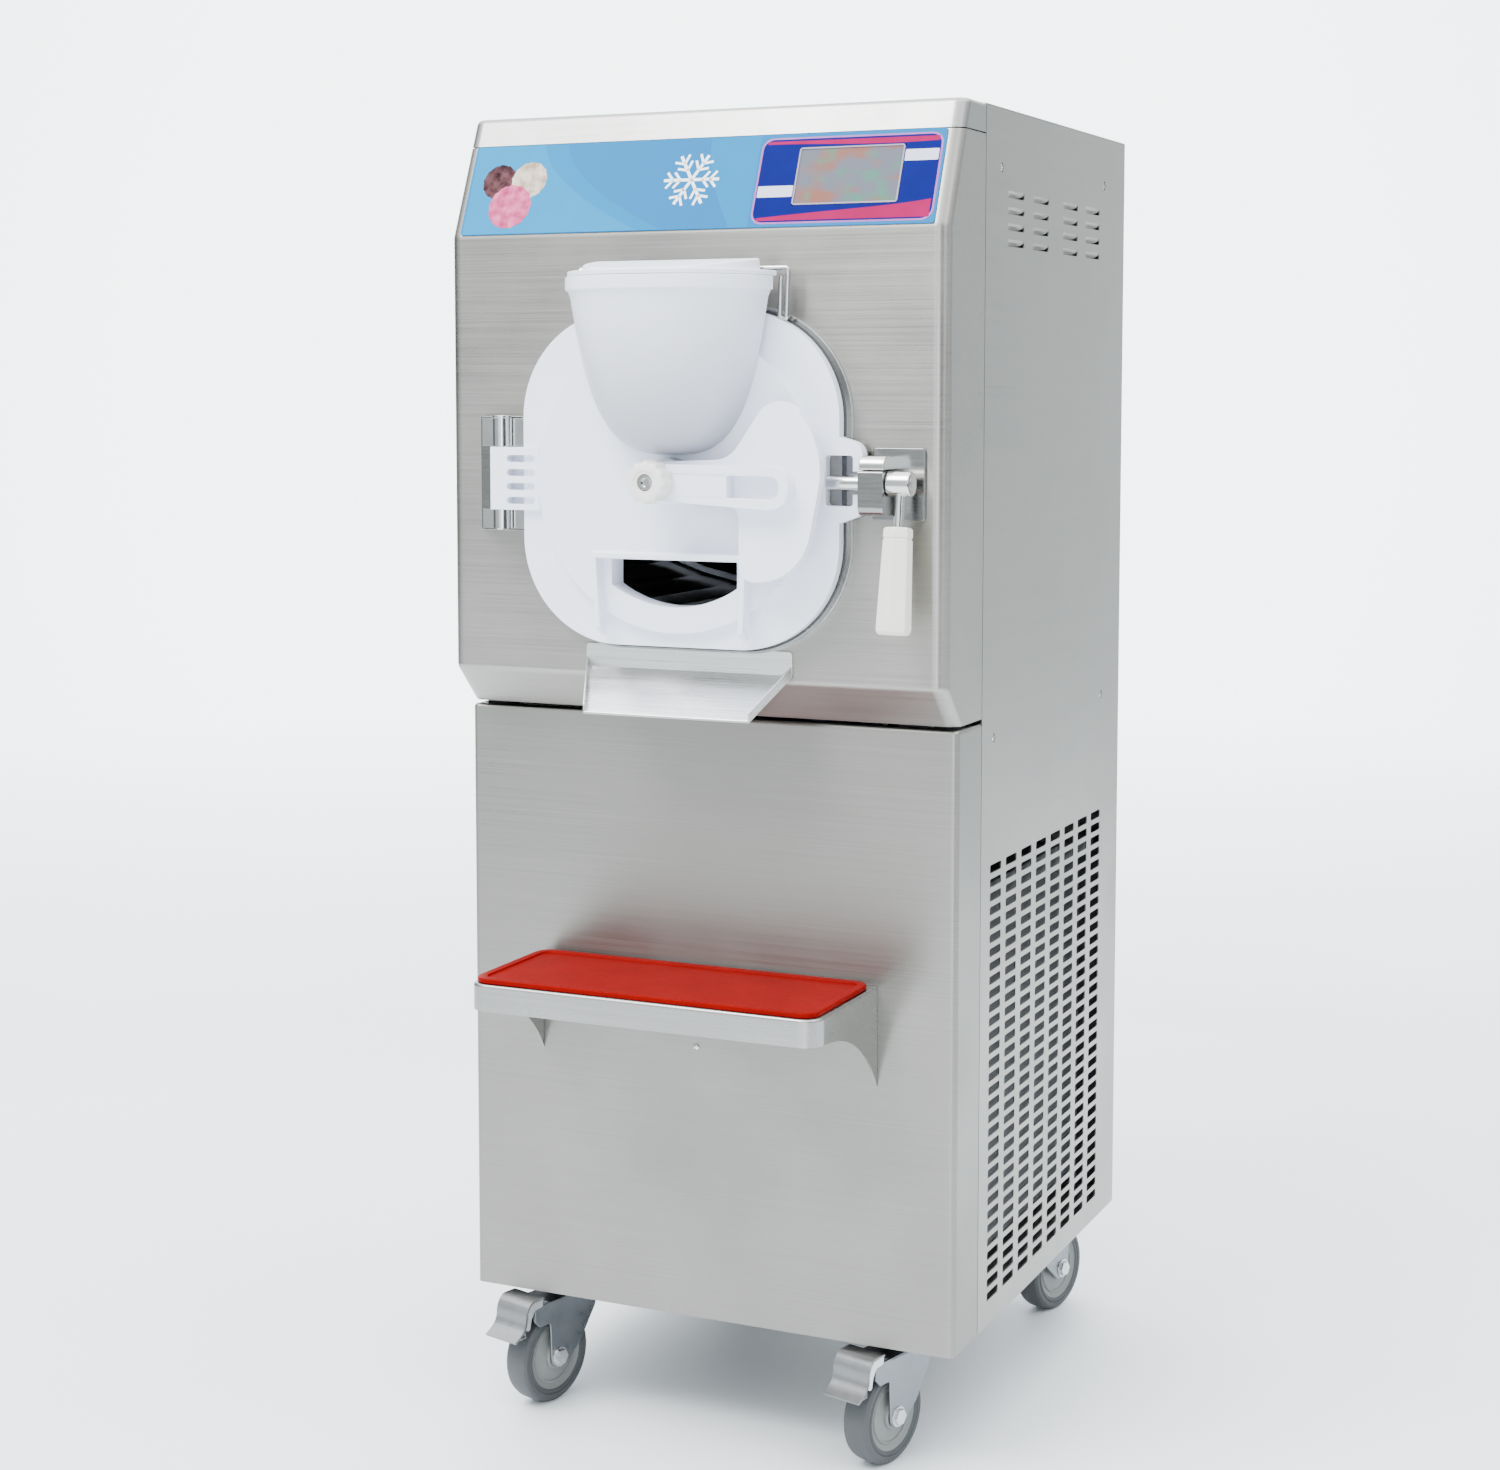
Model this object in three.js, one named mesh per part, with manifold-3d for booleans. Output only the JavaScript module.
// Floor-standing batch freezer for ice cream, in millimetres, +Z up, front towards -Y.
// The outer group moves the cabinet frame, whose origin is the middle of the lower front panel's
// bottom edge, to the middle of the machine's footprint on the floor.
import * as THREE from "three";
import { mergeVertices } from "three/addons/utils/BufferGeometryUtils.js";
import Module from "manifold-3d";

const wasm = await Module();
wasm.setup();

// Cabinet
const HALF_W = 270;
const DEPTH = 544;
const TOP = 1227;
const SHEET = 1.5;
const GAP = 0.3;
const SEAM = 624;
const SEAM_GAP = 2;
const HEAD_FRONT = -38;
const CHAMFER_TOP = 665;
const SLOPE_LOW = 1104;
const SLOPE_TOP_Y = 13;
const LIP_LOW = 1198;
const RETURN_Y = 68;
const HEAD_CORNER_R = 14;
const LOWER_CORNER_R = 6;
const SLOPE = Math.atan2(SLOPE_TOP_Y - HEAD_FRONT, TOP - SLOPE_LOW);

// Side panel openings
const VENT = { cols: 8, y0: 97, pitchY: 49.1, width: 34, z0: 26, windows: 4, height: 108, pitchZ: 113.6 };
const LOUVRE = { columns: [135, 215, 316, 396], width: 52, rows: 4, z0: 1092, pitch: 16, height: 6 };

// Door and freezing cylinder
const AXIS_Z = 862;
const BORE_R = 130;
const CYL_WALL = 4;
const CYL_BACK = 330;
const FLANGE_BACK = HEAD_FRONT - GAP;
const DOOR_BACK = -50.6;
const DOOR_FRONT = -62;
const DISC_FRONT = -70;
const DOOR_HALF_W = 171;
const DOOR_HALF_H = 164;
const DOOR_CORNER_R = 105;
const DISC_R = 150;
const PLUG_R = 128;
const HINGE_X = -199;
const HINGE_Y = -56;
const HINGE_PIN_R = 7;
const OUTLET = { halfW: 68, low: 738, high: 785 };
const INLET = { halfW: 50, low: 925, high: 975 };

// Hopper
const RIM_Z = 1058;
const RIM_HALF_W = 104;
const RIM_DEPTH = 96;
const CUP_DROP = 171;
const CUP_BACK = DISC_FRONT - GAP;
const CUP_WALL = 3;
const LID_BACK = -62;
const LID_RISE = 12;
const LID_ROD = { y: -57, z: 1066, r: 2.5 };

// Gate
const LOBE_BACK = -87;
const LOBE_FRONT = -97;
const ARM_FRONT = -112;
const KNOB_FRONT = -134;
const STUD_R = 8;
const BOSS_R = 22;
const KNOB_R = 20;

// Latch
const LATCH_Y = -64;
const LATCH_SHAFT_R = 7;
const GRIP_X = 234;
const LEVER_LEAN = 7;

// Beater drive
const SHAFT_R = 15;
const DRIVEN_R = 110;
const MOTOR_PULLEY_R = 40;
const MOTOR_Z = 532;
const BELT_FROM = 378;
const BELT_TO = 400;
const BELT_THICK = 6;

// Condenser fan
const FAN_Y = 285;
const FAN_Z = 240;

// Shelf
const SHELF_Z = 365;
const SHELF_REACH = 155;
const SHELF_HALF_W = 188;

// Casters
const CASTER_H = 128;
const WHEEL_R = 50;
const WHEEL_HALF_W = 15;
const TRAIL = 36;
const TURNED = THREE.MathUtils.degToRad(-15);
const CASTERS = [
  { tag: "fl", x: -193, y: 64, turn: TURNED, brake: true },
  { tag: "fr", x: 193, y: 64, turn: TURNED, brake: true },
  { tag: "rl", x: -193, y: 480, turn: Math.PI + TURNED, brake: false },
  { tag: "rr", x: 193, y: 480, turn: Math.PI + TURNED, brake: false },
];

// ---- materials -------------------------------------------------------------------------------

const finish = (color, roughness, metalness) =>
  new THREE.MeshStandardMaterial({ color, roughness, metalness });
const STEEL = finish(0xb9b8b4, 0.35, 1);
const POLISHED = finish(0xc9c9c8, 0.18, 1);
const FRAME_STEEL = finish(0x8c8f92, 0.5, 0.9);
const WHITE = finish(0xe9ebf4, 0.3, 0);
const CREAM = finish(0xe9e7dc, 0.4, 0);
const ZINC = finish(0x9b9fa3, 0.35, 1);
const GREY_RUBBER = finish(0x6d7073, 0.6, 0);
const BLACK_RUBBER = finish(0x1d1d1f, 0.7, 0);
const RED = finish(0xc8140f, 0.35, 0);
const BLUE = finish(0x35b6e6, 0.3, 0);
const SCREEN = finish(0x2a3038, 0.1, 0);
const FOAM = finish(0x2c2d2f, 0.9, 0);
const BLACK_PAINT = finish(0x1f2123, 0.5, 0.3);
const COPPER_FINS = finish(0xa9adb0, 0.45, 0.9);
const MOTOR_BLUE = finish(0x3f5f86, 0.5, 0.4);
const BRONZE = finish(0xa98a52, 0.4, 0.9);

// ---- solids ----------------------------------------------------------------------------------

// A closed geometry as a solid that can be joined and cut.
function solid(geometry) {
  const g = geometry.index ? geometry.toNonIndexed() : geometry.clone();
  g.deleteAttribute("normal");
  g.deleteAttribute("uv");
  const merged = mergeVertices(g, 1e-3);
  return new wasm.Manifold(
    new wasm.Mesh({
      numProp: 3,
      vertProperties: merged.attributes.position.array,
      triVerts: new Uint32Array(merged.index.array),
    }),
  );
}

const join = (first, ...rest) => rest.reduce((all, s) => all.add(s), first);
const cut = (first, ...rest) => rest.reduce((all, s) => all.subtract(s), first);

function box(x0, x1, y0, y1, z0, z1) {
  const g = new THREE.BoxGeometry(x1 - x0, y1 - y0, z1 - z0);
  return solid(g.translate((x0 + x1) / 2, (y0 + y1) / 2, (z0 + z1) / 2));
}

const X = new THREE.Vector3(1, 0, 0);
const Y = new THREE.Vector3(0, 1, 0);
const Z = new THREE.Vector3(0, 0, 1);
// How a profile drawn in a plane and swept along an axis is turned: across, up, along.
const SWEEP = {
  x: new THREE.Matrix4().makeBasis(Y, Z, X),
  y: new THREE.Matrix4().makeBasis(X, Z, Y.clone().negate()),
  z: new THREE.Matrix4(),
};

// An outline drawn across the axis, as a solid from one place on the axis to another.
function sweep(shape, axis, from, to, curveSegments = 12) {
  const g = new THREE.ExtrudeGeometry(shape, { depth: to - from, bevelEnabled: false, curveSegments });
  g.translate(0, 0, axis === "y" ? -to : from);
  return solid(g.applyMatrix4(SWEEP[axis]));
}

// A polygon with each corner rounded to its own radius, as [across, up, radius].
function rounded(points) {
  const shape = new THREE.Shape();
  points.forEach(([x, y, r], i) => {
    const here = new THREE.Vector2(x, y);
    const before = points[(i + points.length - 1) % points.length];
    const after = points[(i + 1) % points.length];
    const back = new THREE.Vector2(before[0], before[1]).sub(here).normalize();
    const on = new THREE.Vector2(after[0], after[1]).sub(here).normalize();
    const reach = r / Math.tan(Math.acos(back.dot(on)) / 2);
    const start = here.clone().addScaledVector(back, reach);
    const end = here.clone().addScaledVector(on, reach);
    if (i === 0) shape.moveTo(start.x, start.y);
    else shape.lineTo(start.x, start.y);
    if (r > 0) roundCorner(shape, start, here, end);
  });
  shape.closePath();
  return shape;
}

function roundCorner(shape, start, corner, end) {
  const k = start.distanceTo(corner);
  const half = Math.acos(start.clone().sub(corner).dot(end.clone().sub(corner)) / (k * k)) / 2;
  const pull = (4 / 3) * Math.tan((Math.PI / 2 - half) / 2) * Math.tan(half);
  const a = start.clone().lerp(corner, pull);
  const b = end.clone().lerp(corner, pull);
  shape.bezierCurveTo(a.x, a.y, b.x, b.y, end.x, end.y);
}

const rectangle = (x0, x1, y0, y1, r = 0) =>
  rounded([[x0, y0, r], [x1, y0, r], [x1, y1, r], [x0, y1, r]]);

const TURN = {
  x: new THREE.Matrix4().makeRotationZ(-Math.PI / 2),
  y: new THREE.Matrix4(),
  z: new THREE.Matrix4().makeRotationX(Math.PI / 2),
};

// A profile of [radius, along] turned about an axis through a point. Along is measured from zero.
function turned(profile, axis, at, segments = 24) {
  const loop = profile.concat([profile[0]]);
  const area = profile.reduce((s, p, i) => s + (p[0] * loop[i + 1][1] - loop[i + 1][0] * p[1]), 0);
  const ordered = area < 0 ? loop.reverse() : loop;
  const g = new THREE.LatheGeometry(ordered.map(([r, h]) => new THREE.Vector2(r, h)), segments);
  return solid(g.applyMatrix4(TURN[axis]).translate(...at));
}

// A round bar on an axis, between two places measured along the axis.
function rod(axis, at, r, from, to, segments = 16) {
  const base = [...at];
  base["xyz".indexOf(axis)] = 0;
  return turned([[0, from], [r, from], [r, to], [0, to]], axis, base, segments);
}

// A tube on an axis.
function tube(axis, at, rOut, rIn, from, to, segments = 24) {
  const base = [...at];
  base["xyz".indexOf(axis)] = 0;
  return turned([[rIn, from], [rOut, from], [rOut, to], [rIn, to]], axis, base, segments);
}

// A solid through rings of points that match one to one. flat maps a ring's points to its own plane.
function loft(rings, flat = (p) => new THREE.Vector2(p[0], p[1])) {
  const n = rings[0].length;
  const outline = rings[0].map(flat);
  const turn = THREE.ShapeUtils.area(outline) > 0 ? 1 : -1;
  const faces = [];
  for (let k = 0; k + 1 < rings.length; k++) {
    for (let i = 0; i < n; i++) {
      const j = (i + 1) % n;
      const [a, b, c, d] = [k * n + i, k * n + j, (k + 1) * n + j, (k + 1) * n + i];
      faces.push(turn > 0 ? [a, b, c, a, c, d] : [a, c, b, a, d, c]);
    }
  }
  const ordered = turn > 0 ? outline : [...outline].reverse();
  const cap = THREE.ShapeUtils.triangulateShape(ordered, []);
  const real = (i) => (turn > 0 ? i : n - 1 - i);
  const last = (rings.length - 1) * n;
  for (const [a, b, c] of cap) {
    faces.push([real(a), real(c), real(b)]);
    faces.push([last + real(a), last + real(b), last + real(c)]);
  }
  const g = new THREE.BufferGeometry();
  g.setAttribute("position", new THREE.BufferAttribute(new Float32Array(rings.flat(2)), 3));
  g.setIndex(faces.flat());
  return solid(g);
}

// ---- the scene graph -------------------------------------------------------------------------

const machine = new THREE.Group();

function add(name, made, material, parent = machine) {
  const m = made.getMesh();
  const positions = new Float32Array(m.numVert * 3);
  for (let i = 0; i < m.numVert; i++) {
    positions.set(m.vertProperties.subarray(i * m.numProp, i * m.numProp + 3), i * 3);
  }
  const g = new THREE.BufferGeometry();
  g.setAttribute("position", new THREE.BufferAttribute(positions, 3));
  g.setIndex(new THREE.BufferAttribute(m.triVerts, 1));
  g.computeVertexNormals();
  const mesh = new THREE.Mesh(g, material);
  mesh.name = name;
  parent.add(mesh);
  return mesh;
}

// ---- cabinet panels --------------------------------------------------------------------------

// Where the front surface lies at a height.
function frontY(z) {
  if (z <= SEAM) return 0;
  if (z <= CHAMFER_TOP) return HEAD_FRONT * (z - SEAM) / (CHAMFER_TOP - SEAM);
  if (z <= SLOPE_LOW) return HEAD_FRONT;
  return HEAD_FRONT + (z - SLOPE_LOW) * Math.tan(SLOPE);
}

// Plan outline of the wrapped front at a height, moved in by inset.
function wrapRing(z, front, cornerR, inset, back) {
  const half = HALF_W - inset;
  const r = Math.max(cornerR - inset, 1);
  const y = front + inset;
  const ring = [[half, back, z]];
  for (let i = 0; i <= 6; i++) {
    const a = (i / 6) * (Math.PI / 2);
    ring.push([half - r + r * Math.cos(a), y + r - r * Math.sin(a), z]);
  }
  for (let i = 6; i >= 0; i--) {
    const a = (i / 6) * (Math.PI / 2);
    ring.push([-half + r - r * Math.cos(a), y + r - r * Math.sin(a), z]);
  }
  ring.push([-half, back, z]);
  return ring.reverse();
}

const headWrap = (levels, inset, back) =>
  loft(levels.map((z) => wrapRing(z, frontY(z), HEAD_CORNER_R, inset, back)));

function frontUpperPanel() {
  const bottom = SEAM + SEAM_GAP;
  const outer = headWrap([bottom, CHAMFER_TOP, SLOPE_LOW, LIP_LOW - 1], 0, RETURN_Y);
  const inner = headWrap([SEAM - 10, SEAM, CHAMFER_TOP, SLOPE_LOW, LIP_LOW + 5], SHEET, RETURN_Y + 10);
  const cylinderHole = rod("y", [0, 0, AXIS_Z], BORE_R + CYL_WALL + 2, HEAD_FRONT - 5, HEAD_FRONT + 6, 32);
  return cut(outer, inner, cylinderHole, onSlope(box(106, 217, -8, 12, 23, 86)));
}

function frontLowerPanel() {
  const ring = (z, inset, back) => wrapRing(z, 0, LOWER_CORNER_R, inset, back);
  const outer = loft([ring(0, 0, RETURN_Y), ring(SEAM - SEAM_GAP, 0, RETURN_Y)]);
  const flange = SEAM - SEAM_GAP - SHEET;
  const inner = loft([ring(-5, SHEET, RETURN_Y + 10), ring(flange, SHEET, RETURN_Y + 10)]);
  const behindFlange = box(-HALF_W + SHEET, HALF_W - SHEET, 16, RETURN_Y + 10, SEAM - 40, SEAM + 5);
  return cut(outer, inner, behindFlange);
}

function topCover() {
  const outer = headWrap([LIP_LOW, TOP], 0, RETURN_Y);
  const inner = headWrap([LIP_LOW - 10, TOP - SHEET], SHEET, RETURN_Y + 10);
  return join(cut(outer, inner), box(-HALF_W, HALF_W, RETURN_Y - 8, DEPTH, TOP - SHEET, TOP));
}

function sidePanel(side) {
  const x0 = side > 0 ? HALF_W - SHEET : -HALF_W;
  const x1 = x0 + SHEET;
  const windows = [];
  for (let c = 0; c < VENT.cols; c++) {
    for (let w = 0; w < VENT.windows; w++) {
      const y = VENT.y0 + c * VENT.pitchY;
      const z = VENT.z0 + w * VENT.pitchZ;
      windows.push(box(x0 - 1, x1 + 1, y, y + VENT.width, z, z + VENT.height));
    }
  }
  for (const y of LOUVRE.columns) {
    for (let r = 0; r < LOUVRE.rows; r++) {
      const z = LOUVRE.z0 + r * LOUVRE.pitch;
      windows.push(box(x0 - 1, x1 + 1, y, y + LOUVRE.width, z, z + LOUVRE.height));
    }
  }
  const sheet = box(x0, x1, RETURN_Y + 1.2, DEPTH, 0, TOP - SHEET - GAP);
  const returnFlange = side > 0
    ? box(HALF_W - 22, HALF_W - 1, DEPTH - SHEET, DEPTH, 0, TOP - SHEET - GAP)
    : box(-HALF_W + 1, -HALF_W + 22, DEPTH - SHEET, DEPTH, 0, TOP - SHEET - GAP);
  return cut(join(sheet, returnFlange), ...windows);
}

function backPanel() {
  const y1 = DEPTH - SHEET - GAP;
  const slots = [];
  for (const z0 of [110, 330]) {
    for (let z = z0; z < z0 + 120; z += 20) slots.push(box(-120, 120, y1 - 10, y1 + 5, z, z + 9));
  }
  const sheet = box(-HALF_W + 5, HALF_W - 5, y1 - SHEET, y1, 3, TOP - SHEET - 2);
  return cut(sheet, ...slots, rod("y", [190, 0, 150], 10, y1 - 10, y1 + 5));
}

// A hexagonal nut and a sleeve in the back panel, with a hole for a supply lead.
function cableGland() {
  const at = [190, 0, 150];
  return join(tube("y", at, 9.6, 5, 536, 562, 16), tube("y", at, 15, 9, 542.6, 552, 6));
}

// Puts a solid drawn flat, with its face in the XZ plane, onto the sloped face.
function onSlope(made) {
  const m = new THREE.Matrix4().makeTranslation(0, HEAD_FRONT, SLOPE_LOW);
  m.multiply(new THREE.Matrix4().makeRotationX(-SLOPE));
  return made.transform(m.elements);
}

function fascia() {
  return onSlope(cut(box(-256.5, 256.5, -1.5, -GAP, 1.5, 100.5), box(106, 217, -4, 4, 23, 86)));
}

function touchScreen() {
  const body = box(107, 216, -2, 8, 24, 85);
  return onSlope(cut(body, box(111, 212, -4, -1.2, 28, 81)));
}

// ---- frame -----------------------------------------------------------------------------------

const CYL_REST_Z = AXIS_Z - 176;
const PAN_TOP = 35;
const MOTOR_SHELF_Z = MOTOR_Z - 88;
const CRADLE_Z = 666;

// Floor plate on the four caster pads.
function basePan() {
  const plate = box(-262, 262, 18, 530, PAN_TOP - 6, PAN_TOP);
  const pads = CASTERS.map((c) => box(c.x - 40, c.x + 40, c.y - 40, c.y + 40, -4, PAN_TOP - 5));
  return join(plate, ...pads);
}

// Two corner posts and the three rails between them, on one side.
function sideFrame(side) {
  const x = side * 250;
  const posts = [32, 516].map((y) => box(x - 12, x + 12, y - 12, y + 12, PAN_TOP + GAP, 1185));
  const tops = [MOTOR_SHELF_Z - GAP, CRADLE_Z - GAP, 1185];
  const rails = tops.map((top) => box(x - 11, x + 11, 32, 516, top - 14, top));
  return join(...posts, ...rails);
}

const motorShelf = () => box(-261, 261, 90, 370, MOTOR_SHELF_Z, MOTOR_SHELF_Z + 8);

// Plate with two blocks that the freezing cylinder's insulation rests on.
function cylinderCradle() {
  const blocks = [70, 270].map((y) => box(-60, 60, y - 10, y + 10, CRADLE_Z, CYL_REST_Z - GAP));
  return join(box(-261, 261, 55, 285, CRADLE_Z, CRADLE_Z + 6), ...blocks);
}

// ---- freezing cylinder and drive -------------------------------------------------------------

const onAxis = [0, 0, AXIS_Z];

function freezingCylinder() {
  const wall = tube("y", onAxis, BORE_R + CYL_WALL, BORE_R, FLANGE_BACK + GAP, CYL_BACK, 32);
  return join(wall, tube("y", onAxis, BORE_R + 1, 24.3, CYL_BACK - 4, CYL_BACK, 32));
}

const insulation = () =>
  cut(
    tube("y", onAxis, 175, BORE_R + CYL_WALL + GAP + 0.1, -30, CYL_BACK - 12, 32),
    box(-200, 200, -40, CYL_BACK, AXIS_Z - 200, CYL_REST_Z),
  );

function cylinderFlange() {
  const plate = sweep(doorOutline(0), "y", FLANGE_BACK - 11.7, FLANGE_BACK, 10);
  const ear = latchEar(FLANGE_BACK - 11.7, FLANGE_BACK);
  const bore = rod("y", onAxis, BORE_R, FLANGE_BACK - 20, FLANGE_BACK + 5, 32);
  return cut(join(plate, ear), bore);
}

const BEATER_FROM = -30;
const BEATER_TO = 318;
const SPIN = Math.PI * 0.6;

// A strip that winds about the cylinder's axis, between two radii.
function windingStrip(startAngle, rIn, rOut, halfThick) {
  const steps = 10;
  const rings = [];
  for (let i = 0; i <= steps; i++) {
    const a = startAngle + (i / steps) * SPIN;
    const y = BEATER_FROM + (i / steps) * (BEATER_TO - BEATER_FROM);
    const out = [Math.cos(a), Math.sin(a)];
    const side = [-Math.sin(a), Math.cos(a)];
    const corner = (r, t) => [out[0] * r + side[0] * t, y, AXIS_Z + out[1] * r + side[1] * t];
    const [low, high] = [-halfThick, halfThick];
    rings.push([corner(rIn, low), corner(rOut, low), corner(rOut, high), corner(rIn, high)]);
  }
  return loft(rings.reverse(), (p) => new THREE.Vector2(p[0], p[2]));
}

function beater() {
  const blades = [0, Math.PI].map((a) => windingStrip(a, 98, 120, 5));
  const spokes = [0, Math.PI].flatMap((a) => [
    spoke(a, BEATER_FROM, BEATER_FROM + 12),
    spoke(a + SPIN, BEATER_TO - 14, BEATER_TO),
  ]);
  const hubs = [
    rod("y", onAxis, 20, BEATER_FROM - 2, BEATER_FROM + 14),
    rod("y", onAxis, 28, BEATER_TO - 20, BEATER_TO),
    rod("y", onAxis, 8, BEATER_FROM, BEATER_TO, 16),
  ];
  const socket = rod("y", onAxis, SHAFT_R + GAP, BEATER_TO - 10, BEATER_TO + 5);
  return cut(join(hubs[0], hubs[1], hubs[2], ...spokes, ...blades), socket);
}

function spoke(angle, from, to) {
  const g = new THREE.BoxGeometry(110, to - from, 12);
  g.translate(55, (from + to) / 2, 0);
  g.applyMatrix4(new THREE.Matrix4().makeRotationY(-angle));
  return solid(g.translate(0, 0, AXIS_Z));
}

const scraper = (a) => windingStrip(a, 121.2, 127.5, 3);

const beaterShaft = () =>
  join(
    rod("y", onAxis, SHAFT_R, BEATER_TO - 9.6, BELT_TO + 12),
    rod("y", onAxis, 8, BELT_TO + 10, BELT_TO + 24, 16),
  );

const bearingHousing = () =>
  join(
    tube("y", onAxis, 62, SHAFT_R + 0.4, CYL_BACK + GAP, CYL_BACK + 8),
    tube("y", onAxis, 38, SHAFT_R + 0.4, CYL_BACK + 8 - 0.5, BELT_FROM - 12),
  );

// A grooved pulley between two rims, with a bore.
function pulley(z, r, boreR) {
  const from = BELT_FROM - 5;
  const to = BELT_TO + 5;
  const profile = [
    [boreR, from], [r + 8, from], [r + 8, BELT_FROM - 1], [r, BELT_FROM - 1],
    [r, BELT_TO + 1], [r + 8, BELT_TO + 1], [r + 8, to], [boreR, to],
  ];
  return turned(profile, "y", [0, 0, z], 24);
}

// The closed band around both pulleys, at a distance outside them.
function beltOutline(out) {
  const big = DRIVEN_R + out;
  const small = MOTOR_PULLEY_R + out;
  const lean = Math.asin((DRIVEN_R - MOTOR_PULLEY_R) / (AXIS_Z - MOTOR_Z));
  const shape = new THREE.Shape();
  shape.absarc(0, AXIS_Z, big, -lean, Math.PI + lean, false);
  shape.absarc(0, MOTOR_Z, small, Math.PI + lean, 2 * Math.PI - lean, false);
  shape.closePath();
  return shape;
}

const driveBelt = () =>
  cut(
    sweep(beltOutline(BELT_THICK), "y", BELT_FROM, BELT_TO, 14),
    sweep(beltOutline(0.6), "y", BELT_FROM - 2, BELT_TO + 2, 14),
  );

const motorAt = [0, 0, MOTOR_Z];

function beaterMotor() {
  const can = turned([[0, 130], [62, 130], [74, 142], [74, 330], [60, 344], [30, 348], [30, 356], [0, 356]],
    "y", motorAt, 24);
  const shaft = rod("y", motorAt, 10, 340, BELT_TO + 8);
  const feet = box(-70, 70, 150, 320, MOTOR_Z - 80 + GAP, MOTOR_Z - 50);
  const terminals = box(-40, 40, 180, 260, MOTOR_Z + 60, MOTOR_Z + 98);
  return join(can, shaft, feet, terminals);
}

// ---- refrigeration ---------------------------------------------------------------------------

function compressor() {
  const profile = [[0, 48], [60, 48], [76, 62], [78, 150], [74, 200], [50, 226], [0, 234]];
  const can = turned(profile, "z", [-120, 300, 0], 24);
  const base = box(-210, -30, 215, 385, 36, 52);
  return join(can, base, rod("z", [-120, 300, 0], 10, 225, 246, 16));
}

function condenser() {
  const core = box(216, 246, 110, 462, 60, 420);
  const ends = [102, 462].map((y) => box(214, 248, y - 1, y + 9, 36, 424));
  return join(core, ...ends);
}

function fanShroud() {
  const plate = box(206, 213, 104, 470, 60, 424);
  const ring = tube("x", [0, FAN_Y, FAN_Z], 130, 126, 178, 208, 28);
  const foot = box(190, 213, 104, 470, 36, 62);
  return cut(join(plate, ring, foot), rod("x", [0, FAN_Y, FAN_Z], 126, 170, 220, 28));
}

const FAN_BLADES = 5;

function fanBlade() {
  const hub = tube("x", [0, FAN_Y, FAN_Z], 30, 5.4, 182, 202, 24);
  const blades = [];
  for (let i = 0; i < FAN_BLADES; i++) {
    const g = new THREE.BoxGeometry(3, 46, 92);
    g.applyMatrix4(new THREE.Matrix4().makeRotationZ(0.32));
    g.translate(192, 0, 26 + 46);
    g.applyMatrix4(new THREE.Matrix4().makeRotationX((i * 2 * Math.PI) / FAN_BLADES));
    blades.push(solid(g.translate(0, FAN_Y, FAN_Z)));
  }
  return join(hub, ...blades);
}

function fanMotor() {
  const at = [0, FAN_Y, FAN_Z];
  const can = rod("x", at, 38, 110, 166, 24);
  const arm = box(166 - 0.5, 170, FAN_Y - 134, FAN_Y + 134, FAN_Z - 12, FAN_Z + 12);
  const tabs = [-1, 1].map((s) => {
    const y = FAN_Y + s * 132;
    return box(166, 205.5, y - 1, y + 1.5, FAN_Z - 12, FAN_Z + 12);
  });
  return join(can, arm, ...tabs, rod("x", at, 5, 160, 200, 16));
}

// ---- door ------------------------------------------------------------------------------------

// A rounded polygon whose heights are measured from the cylinder's axis.
const aboutAxis = (points) => rounded(points.map(([x, z, r]) => [x, AXIS_Z + z, r]));

const doorOutline = (inset) =>
  rectangle(-DOOR_HALF_W + inset, DOOR_HALF_W - inset, AXIS_Z - DOOR_HALF_H + inset,
    AXIS_Z + DOOR_HALF_H - inset, DOOR_CORNER_R - inset);

// The rounded tab on the right-hand side that the latch closes on.
const latchEar = (from, to) => sweep(aboutAxis([
  [150, -44, 0], [173, -38, 10], [195, -30, 12], [195, 36, 14], [173, 43, 10], [150, 50, 0],
]), "y", from, to, 4);

// The opening that the mix leaves by: as wide as the mouth, cut off by the plug's round edge.
function outletOpening() {
  const mouth = box(-OUTLET.halfW, OUTLET.halfW, -100, 0, OUTLET.low, OUTLET.high);
  return mouth.intersect(rod("y", onAxis, PLUG_R - 4, -101, 1, 32));
}

const inletOpening = (from, to) =>
  sweep(rectangle(-INLET.halfW, INLET.halfW, INLET.low, INLET.high, 12), "y", from, to, 6);

function hingeEar() {
  const low = AXIS_Z - 32.7;
  const high = AXIS_Z + 30.7;
  const barrel = rod("z", [HINGE_X, HINGE_Y, 0], 11.5, low, high, 24);
  const arm = box(HINGE_X, -DOOR_HALF_W + 12, HINGE_Y - 10, DOOR_BACK, low, high);
  return join(barrel, arm);
}

function spoutCheek(side) {
  const flat = (p) => new THREE.Vector2(p[1], p[2]);
  const wall = (x) => [
    [x, DISC_FRONT + 1, 792], [x, -86, 790], [x - side * 4, -84, 716], [x - side * 4, DISC_FRONT + 1, 706],
  ];
  const rings = side > 0 ? [wall(78), wall(84)] : [wall(-84), wall(-78)];
  return loft(rings, flat);
}

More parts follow.
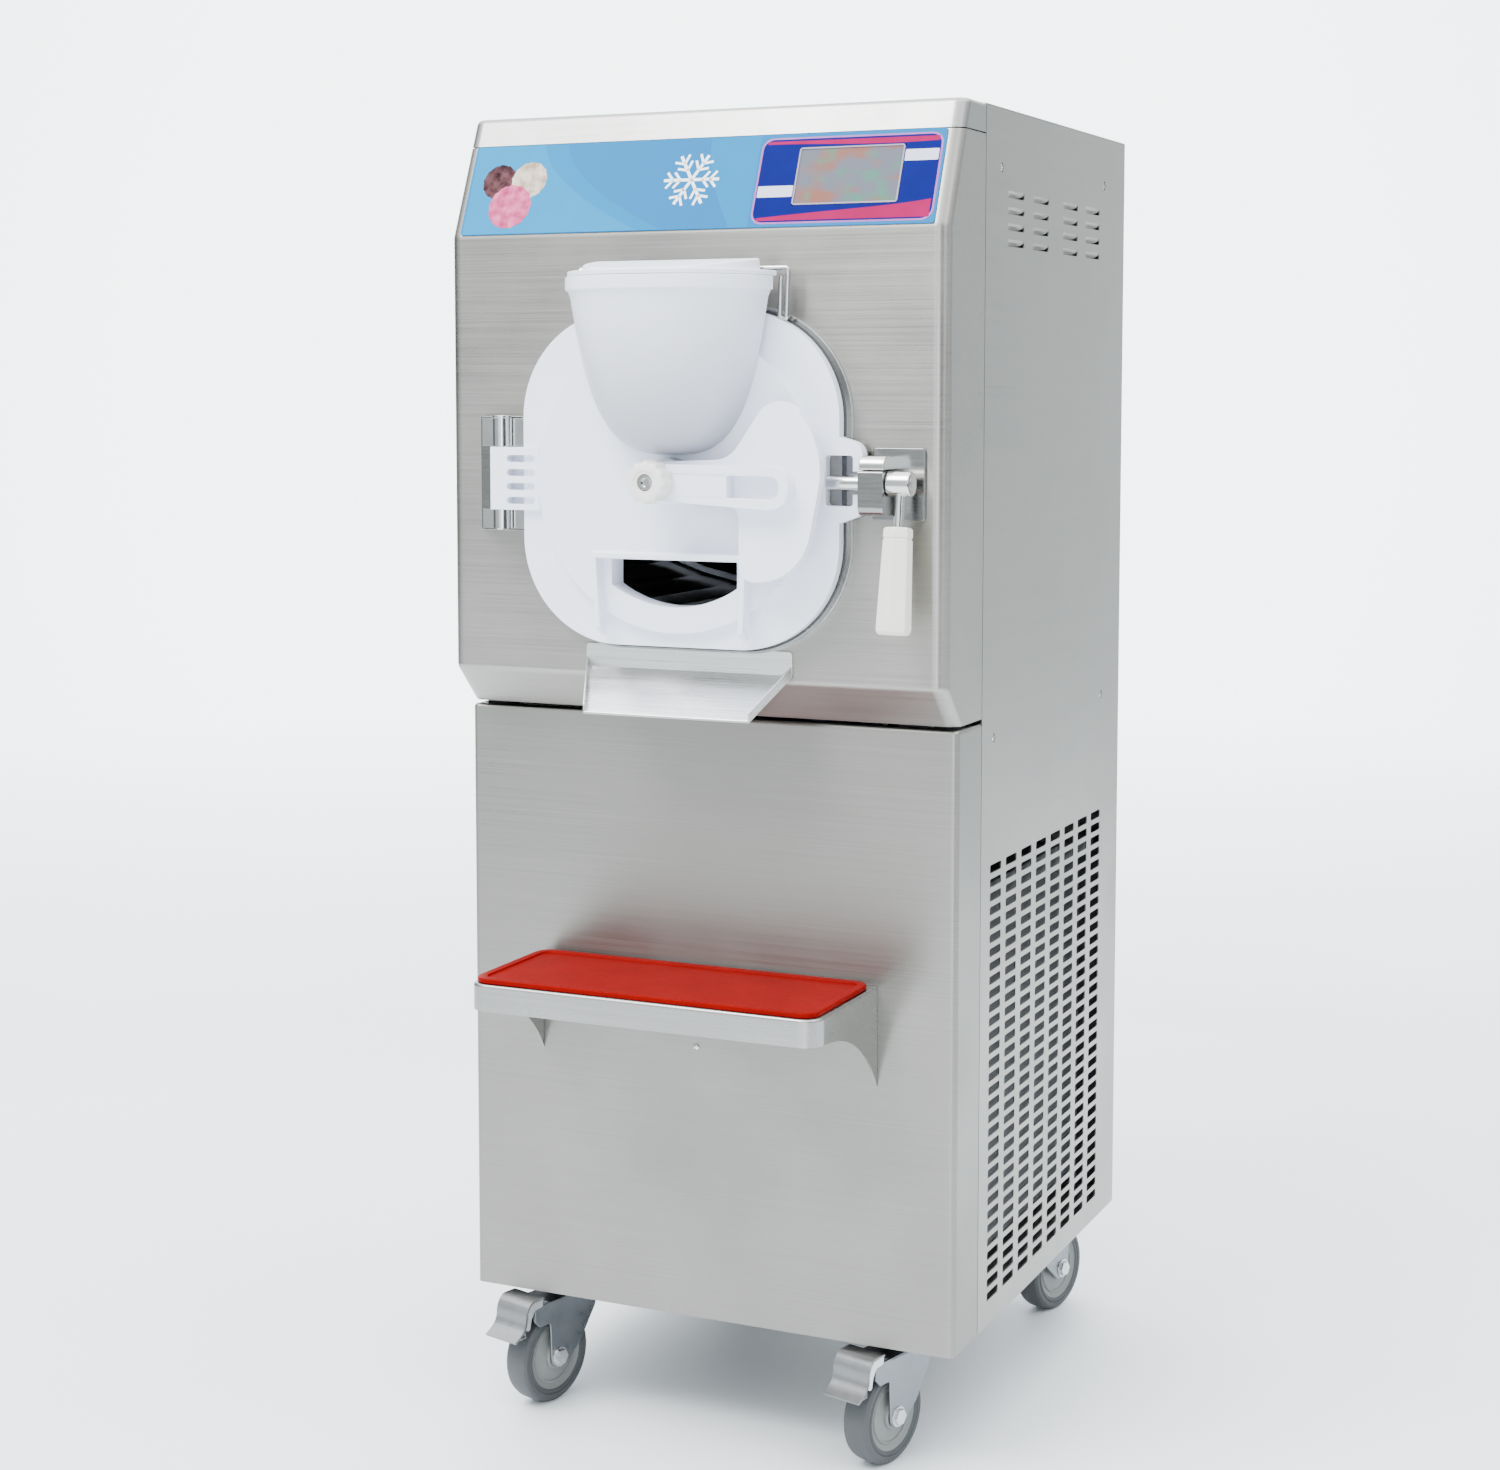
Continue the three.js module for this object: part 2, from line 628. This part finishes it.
function door() {
  const plate = sweep(doorOutline(0), "y", DOOR_FRONT, DOOR_BACK, 10);
  const disc = rod("y", onAxis, DISC_R, DISC_FRONT, DOOR_FRONT + 1, 40);
  const plug = rod("y", onAxis, PLUG_R, DOOR_BACK - 1, -45, 32);
  const boss = rod("y", onAxis, BOSS_R, LOBE_BACK + GAP, DISC_FRONT + 1, 32);
  const cheeks = [-1, 1].map(spoutCheek);
  const hood = box(-84, 84, -86, DISC_FRONT + 1, 785, 792);
  const grips = [0, 1, 2, 3].map((i) => {
    const z = AXIS_Z + 19 - i * 14;
    return box(-187, -164, HINGE_Y - 20, HINGE_Y + 4, z - 3.5, z + 3.5);
  });
  const window = box(157, 185, -75, -40, AXIS_Z - 22, AXIS_Z + 26);
  const fork = box(184, 197, -75, -40, AXIS_Z - 11, AXIS_Z + 11);
  const groove = tube("y", onAxis, 144, 136, DOOR_BACK - 4, DOOR_BACK + 0.5, 32);
  const body = join(plate, disc, plug, boss, hood, hingeEar(), latchEar(DOOR_FRONT, DOOR_BACK), ...cheeks);
  return cut(
    body, outletOpening(), inletOpening(-90, -30), window, fork, groove, ...grips,
    rod("z", [HINGE_X, HINGE_Y, 0], HINGE_PIN_R + GAP, 700, 1000, 16),
    rod("y", onAxis, STUD_R + GAP, LOBE_BACK - 5, -76, 16),
  );
}

const doorGasket = () => tube("y", onAxis, 143.7, 136.3, DOOR_BACK - 3.7, DOOR_BACK + GAP, 32);

// ---- hopper ----------------------------------------------------------------------------------

// Half-width of the cup, at a depth below its rim.
const cupHalf = (drop) => (RIM_HALF_W - 0.16 * drop) * Math.cbrt(Math.max(1 - (drop / CUP_DROP) ** 4, 0));

// Half-round outline: a flat back and an elliptical front.
function halfRound(half, depth, back, z) {
  const steps = 14;
  const ring = [];
  for (let i = 0; i <= steps; i++) {
    const a = (i / steps) * Math.PI;
    const y = back - depth * Math.sin(a);
    ring.push([-half * Math.cos(a), y, typeof z === "function" ? z(y) : z]);
  }
  return ring;
}

function cupSolid(inset) {
  const drops = [170.5, 168, 162, 152, 134, 110, 70, inset > 0 ? -5 : 0];
  const ratio = RIM_DEPTH / RIM_HALF_W;
  return loft(drops.map((drop) => {
    const half = cupHalf(Math.max(drop, 0)) - inset;
    const lift = inset * 0.9;
    const z = RIM_Z - drop + (drop > 0 ? lift : 0);
    return halfRound(Math.max(half, 4), Math.max(half * ratio, 4), CUP_BACK - inset, z);
  }));
}

function hopperCup() {
  const rim = loft([RIM_Z - 13, RIM_Z].map((z) => halfRound(RIM_HALF_W + 3, RIM_DEPTH + 3, CUP_BACK, z)));
  return cut(join(cupSolid(0), rim), cupSolid(CUP_WALL), inletOpening(CUP_BACK - CUP_WALL - 1, CUP_BACK + 5));
}

// Height of the lid's raised middle, which climbs towards the hinge.
const lidRise = (y) =>
  RIM_Z + GAP + 5 + LID_RISE * (y - CUP_BACK + RIM_DEPTH) / (LID_BACK - CUP_BACK + RIM_DEPTH);

function hopperLid() {
  const low = RIM_Z + GAP;
  const skirt = loft([low, low + 5].map((z) => halfRound(RIM_HALF_W + 3, RIM_DEPTH + 11, LID_BACK, z)));
  const middle = loft([low + 4, lidRise].map((z) => halfRound(RIM_HALF_W - 16, RIM_DEPTH + 6, LID_BACK, z)));
  const hollow = (z) => halfRound(RIM_HALF_W - 24, RIM_DEPTH - 6, LID_BACK - 6, z);
  const inner = loft([hollow(low - 3), hollow((y) => lidRise(y) - 3)]);
  const knuckles = [-78, 58].map((x) => join(
    rod("x", [0, LID_ROD.y, LID_ROD.z], 5, x, x + 20, 16),
    box(x, x + 20, LID_BACK - 2, LID_ROD.y, LID_ROD.z - 5, LID_ROD.z + 5),
  ));
  const bore = rod("x", [0, LID_ROD.y, LID_ROD.z], LID_ROD.r + 0.5, -110, 110, 16);
  return cut(join(skirt, middle, ...knuckles), inner, bore);
}

function lidHingeRod() {
  const { y, z, r } = LID_ROD;
  const bar = rod("x", [0, y, z], r, -104, 118, 16);
  const drop = rod("z", [116, y, 0], r, 1015, z + 1, 12);
  const stop = rod("x", [0, y, z], 4.5, -108, -103, 16);
  return join(bar, drop, stop);
}

// ---- gate ------------------------------------------------------------------------------------

function outletGate() {
  const lobe = aboutAxis([
    [-22, -18, 17], [82, -24, 10], [82, -94, 15], [146, -96, 56], [172, 34, 84], [122, 94, 26], [72, 22, 30],
    [-22, 18, 17],
  ]);
  return cut(sweep(lobe, "y", LOBE_FRONT, LOBE_BACK, 8), rod("y", onAxis, STUD_R + GAP, -120, -80, 16));
}

function gateHandle() {
  const arm = aboutAxis([[-17, -17, 16], [140, -26, 20], [140, 17, 20], [-17, 17, 16]]);
  const slot = aboutAxis([[76, -14, 1], [130, -15, 10], [130, 7, 10], [76, 7, 1]]);
  return cut(
    sweep(arm, "y", ARM_FRONT, LOBE_FRONT - GAP, 8),
    sweep(slot, "y", ARM_FRONT - 2, LOBE_FRONT + 2, 8),
    rod("y", onAxis, STUD_R + GAP, -120, -90, 16),
  );
}

function gateKnob() {
  const lobes = 12;
  const points = [];
  for (let i = 0; i < 48; i++) {
    const a = (i / 48) * 2 * Math.PI;
    const r = KNOB_R + Math.cos(lobes * a);
    points.push(new THREE.Vector2(r * Math.cos(a), AXIS_Z + r * Math.sin(a)));
  }
  const body = sweep(new THREE.Shape(points), "y", KNOB_FRONT, ARM_FRONT - GAP, 1);
  return cut(body, rod("y", onAxis, STUD_R + GAP, -140, -100, 16));
}

function gateStud() {
  const slot = box(-1, 1, -140, KNOB_FRONT + 4, AXIS_Z - 6, AXIS_Z + 6);
  return cut(rod("y", onAxis, STUD_R, KNOB_FRONT + 2, -77, 24), slot);
}

// ---- hinge and latch -------------------------------------------------------------------------

function hingeBracket() {
  const plate = box(-232, -172.5, -42, FLANGE_BACK, AXIS_Z - 55, AXIS_Z + 61);
  const lug = (low, high) =>
    sweep(rounded([[-224, -66, 12], [-174, -66, 12], [-174, -41, 0], [-224, -41, 0]]), "z", low, high, 6);
  const lugs = join(lug(AXIS_Z - 52, AXIS_Z - 33), lug(AXIS_Z + 31, AXIS_Z + 59));
  return cut(join(plate, lugs), rod("z", [HINGE_X, HINGE_Y, 0], HINGE_PIN_R + GAP, 700, 1000, 16));
}

const hingePin = () =>
  join(
    rod("z", [HINGE_X, HINGE_Y, 0], HINGE_PIN_R, AXIS_Z - 53, AXIS_Z + 59.4, 24),
    rod("z", [HINGE_X, HINGE_Y, 0], 10, AXIS_Z + 59.3, AXIS_Z + 62, 24),
  );

const latchAt = [0, LATCH_Y, AXIS_Z];

function latchBracket() {
  const plate = box(197, 250, -42, FLANGE_BACK, AXIS_Z - 36, AXIS_Z + 33);
  const low = AXIS_Z - 30;
  const high = AXIS_Z + 26;
  const side = rounded([[-41, low, 0], [-80, low, 8], [-80, high, 12], [-41, high, 0]]);
  const block = sweep(side, "x", 197, 222, 6);
  return cut(join(plate, block), rod("x", latchAt, LATCH_SHAFT_R + GAP + 0.1, 180, 230, 16));
}

// Turns a part of the lever about the shaft, from upright to its rest angle: the foot comes forward.
const leant = (made) =>
  made.translate([0, -LATCH_Y, -AXIS_Z]).rotate([-LEVER_LEAN, 0, 0]).translate([0, LATCH_Y, AXIS_Z]);

function latchShaft() {
  const shaft = rod("x", latchAt, LATCH_SHAFT_R, 160, 246, 24);
  const cam = box(161, 179, LATCH_Y, LATCH_Y + 12.5, AXIS_Z - 6, AXIS_Z + 6);
  const hub = tube("x", latchAt, 12, 6, 222.4, 246, 24);
  const arm = leant(rod("z", [GRIP_X, LATCH_Y, 0], 5.5, 818, AXIS_Z - 5, 16));
  return join(shaft, cam, hub, arm);
}

function latchGrip() {
  const hexagon = (across, z) => {
    const ring = [];
    for (let i = 0; i < 6; i++) {
      const a = ((i + 0.5) / 6) * 2 * Math.PI;
      ring.push([GRIP_X + across * Math.cos(a), LATCH_Y + across * Math.sin(a), z]);
    }
    return ring;
  };
  const body = loft([hexagon(15, 720), hexagon(17.3, 724), hexagon(14.3, 818), hexagon(12.8, 821)]);
  return leant(cut(body, rod("z", [GRIP_X, LATCH_Y, 0], 5.5 + GAP, 817.5, 826, 16)));
}

// ---- chute and shelf -------------------------------------------------------------------------

function chute() {
  const back = HEAD_FRONT - GAP;
  const bend = 673;
  const tip = { y: -91, z: 631, half: 90 };
  const flange = box(-113, 113, back - SHEET, back, bend - 1, 696);
  const thick = SHEET * 1.4;
  const quad = (half, y, z) => [[-half, y, z], [half, y, z], [half, y, z + thick], [-half, y, z + thick]];
  const across = (p) => new THREE.Vector2(p[0], p[2]);
  const slide = loft([quad(tip.half, tip.y, tip.z), quad(113, back, bend - 1)].reverse(), across);
  const edge = (s) => {
    const post = (half, y, z, h) => [
      [s * half, y, z], [s * (half - SHEET), y, z], [s * (half - SHEET), y, z + h], [s * half, y, z + h],
    ];
    return loft([post(113, back, bend - 1, 10), post(tip.half, tip.y, tip.z, 10)], across);
  };
  return join(flange, slide, edge(1), edge(-1));
}

function shelf() {
  const r = 20;
  const low = SHELF_Z - 27;
  const plan = (inset, back) =>
    rounded([
      [-SHELF_HALF_W + inset, -SHELF_REACH + inset, r], [SHELF_HALF_W - inset, -SHELF_REACH + inset, r],
      [SHELF_HALF_W - inset, back, 0], [-SHELF_HALF_W + inset, back, 0],
    ]);
  const tray = cut(
    sweep(plan(0, -GAP), "z", low, SHELF_Z, 6),
    sweep(plan(SHEET, 10), "z", low - 5, SHELF_Z - SHEET, 6),
  );
  const gusset = new THREE.Shape();
  gusset.moveTo(-GAP, SHELF_Z - 2);
  gusset.lineTo(-134, SHELF_Z - 2);
  gusset.lineTo(-134, low);
  gusset.quadraticCurveTo(-40, low - 5, -GAP, 264);
  gusset.closePath();
  const sides = [-SHELF_HALF_W, SHELF_HALF_W - SHEET].map((x) => sweep(gusset, "x", x, x + SHEET, 8));
  const backFlange = box(-SHELF_HALF_W + 1, SHELF_HALF_W - 1, -GAP - SHEET, -GAP, SHELF_Z - 40, SHELF_Z - 1);
  return join(tray, ...sides, backFlange);
}

function shelfMat() {
  const half = SHELF_HALF_W - 4;
  const z = SHELF_Z + GAP;
  const plan = (inset) =>
    rectangle(-half + inset, half - inset, -SHELF_REACH + 3 + inset, -6 - inset, 17 - inset / 2);
  return cut(sweep(plan(0), "z", z, z + 5, 6), sweep(plan(9), "z", z + 3, z + 8, 6));
}

// ---- casters ---------------------------------------------------------------------------------

const AXLE_Z = -CASTER_H + WHEEL_R;
const PEDAL_PIVOT = { y: -68, z: -12 };

// The parts of one caster are drawn about its swivel axis, at x = y = 0, with the wheel towards -Y.
function casterFork(brake) {
  const race = turned([[0, -17], [20, -17], [26, -12], [26, -8], [22, -4.4], [0, -4.4]], "z", [0, 0, 0], 16);
  const bridge = box(-19.5, 19.5, -50, 22, -17.5, -14.5);
  const front = brake
    ? [[-73, -14.5, 7], [-74, -30, 6], [-66, -38, 5], [-50, -38, 3]]
    : [[-48, -14.5, 4], [-50, -34, 8]];
  const leg = [[-48, AXLE_Z - 8, 9], [-27, AXLE_Z - 12, 9], [-4, AXLE_Z + 8, 12], [20, -36, 12]];
  const cheek = rounded([[24, -14.5, 4], ...front, ...leg]);
  const cheeks = [-19.5, 17].map((x) => sweep(cheek, "x", x, x + 2.5, 3));
  const axle = rod("x", [0, -TRAIL, AXLE_Z], 5, -24, 24, 16);
  const parts = [bridge, ...cheeks, axle];
  if (brake) parts.push(rod("x", [0, PEDAL_PIVOT.y, PEDAL_PIVOT.z], 3, -21, 21, 12));
  return join(race, ...parts);
}

function casterWheel() {
  const w = WHEEL_HALF_W;
  const profile = [
    [5.4, -w - 1], [14, -w - 1], [14, 4 - w], [35, 4 - w], [35, -w], [46, -w], [WHEEL_R, 5 - w],
    [WHEEL_R, w - 5], [46, w], [35, w], [35, w - 4], [14, w - 4], [14, w + 1], [5.4, w + 1],
  ];
  return turned(profile, "x", [0, -TRAIL, AXLE_Z], 20);
}

function brakePedal() {
  const plate = new THREE.Shape();
  plate.moveTo(-62, -5.5);
  plate.quadraticCurveTo(-85, -5, -89.5, -24);
  plate.quadraticCurveTo(-92, -35, -107, -43);
  plate.lineTo(-105.5, -45.5);
  plate.quadraticCurveTo(-89.5, -37, -87, -24);
  plate.quadraticCurveTo(-83, -8, -62, -8);
  plate.closePath();
  const pivot = [0, PEDAL_PIVOT.y, PEDAL_PIVOT.z];
  const eye = rod("x", pivot, 5.2, -16.4, 16.4, 20);
  return cut(join(sweep(plate, "x", -22, 22, 6), eye), rod("x", pivot, 3.4, -30, 30, 20));
}

// ---- assembly --------------------------------------------------------------------------------

add("base_pan", basePan(), FRAME_STEEL);
add("side_frame_left", sideFrame(-1), FRAME_STEEL);
add("side_frame_right", sideFrame(1), FRAME_STEEL);
add("motor_shelf", motorShelf(), FRAME_STEEL);
add("cylinder_cradle", cylinderCradle(), FRAME_STEEL);
add("front_lower_panel", frontLowerPanel(), STEEL);
add("front_upper_panel", frontUpperPanel(), STEEL);
add("side_panel_left", sidePanel(-1), STEEL);
add("side_panel_right", sidePanel(1), STEEL);
add("back_panel", backPanel(), STEEL);
add("top_cover", topCover(), STEEL);
add("control_fascia", fascia(), BLUE);
add("touch_screen", touchScreen(), SCREEN);
add("electrical_box", box(-235, -70, 60, 290, 1060, 1168), FRAME_STEEL);
add("cable_gland", cableGland(), BLACK_RUBBER);

add("freezing_cylinder", freezingCylinder(), STEEL);
add("cylinder_insulation", insulation(), FOAM);
add("cylinder_flange", cylinderFlange(), STEEL);
add("beater", beater(), POLISHED);
add("scraper_blade_1", scraper(0), WHITE);
add("scraper_blade_2", scraper(Math.PI), WHITE);
add("beater_shaft", beaterShaft(), POLISHED);
add("shaft_seal", tube("y", onAxis, 24, SHAFT_R + GAP, CYL_BACK - 3.8, CYL_BACK - 0.2), BLACK_RUBBER);
add("bearing_housing", bearingHousing(), FRAME_STEEL);
add("driven_pulley", pulley(AXIS_Z, DRIVEN_R, SHAFT_R + GAP), FRAME_STEEL);
add("motor_pulley", pulley(MOTOR_Z, MOTOR_PULLEY_R, 10.4), FRAME_STEEL);
add("drive_belt", driveBelt(), BLACK_RUBBER);
add("beater_motor", beaterMotor(), MOTOR_BLUE);

add("compressor", compressor(), BLACK_PAINT);
add("condenser", condenser(), COPPER_FINS);
add("fan_shroud", fanShroud(), BLACK_PAINT);
add("fan_blade", fanBlade(), COPPER_FINS);
add("fan_motor", fanMotor(), BLACK_PAINT);

add("door", door(), WHITE);
add("door_gasket", doorGasket(), BLACK_RUBBER);
add("hopper_cup", hopperCup(), WHITE);
add("hopper_lid", hopperLid(), WHITE);
add("lid_hinge_rod", lidHingeRod(), POLISHED);
add("outlet_gate", outletGate(), WHITE);
add("gate_handle", gateHandle(), WHITE);
add("gate_knob", gateKnob(), CREAM);
add("gate_stud", gateStud(), POLISHED);
add("hinge_bracket", hingeBracket(), POLISHED);
add("hinge_pin", hingePin(), POLISHED);
add("latch_bracket", latchBracket(), POLISHED);
add("latch_shaft", latchShaft(), POLISHED);
add("latch_grip", latchGrip(), CREAM);

add("chute", chute(), STEEL);
add("shelf", shelf(), STEEL);
add("shelf_mat", shelfMat(), RED);

for (const { tag, x, y, turn, brake } of CASTERS) {
  const caster = new THREE.Group();
  caster.position.set(x, y, 0);
  caster.rotation.z = turn;
  machine.add(caster);
  add("caster_fork_" + tag, casterFork(brake), ZINC, caster);
  add("caster_wheel_" + tag, casterWheel(), GREY_RUBBER, caster);
  if (brake) add("brake_pedal_" + tag, brakePedal(), ZINC, caster);
}

const footprint = new THREE.Box3().setFromObject(machine, true);
machine.position.set(0, -(footprint.min.y + footprint.max.y) / 2, CASTER_H);

export default machine;
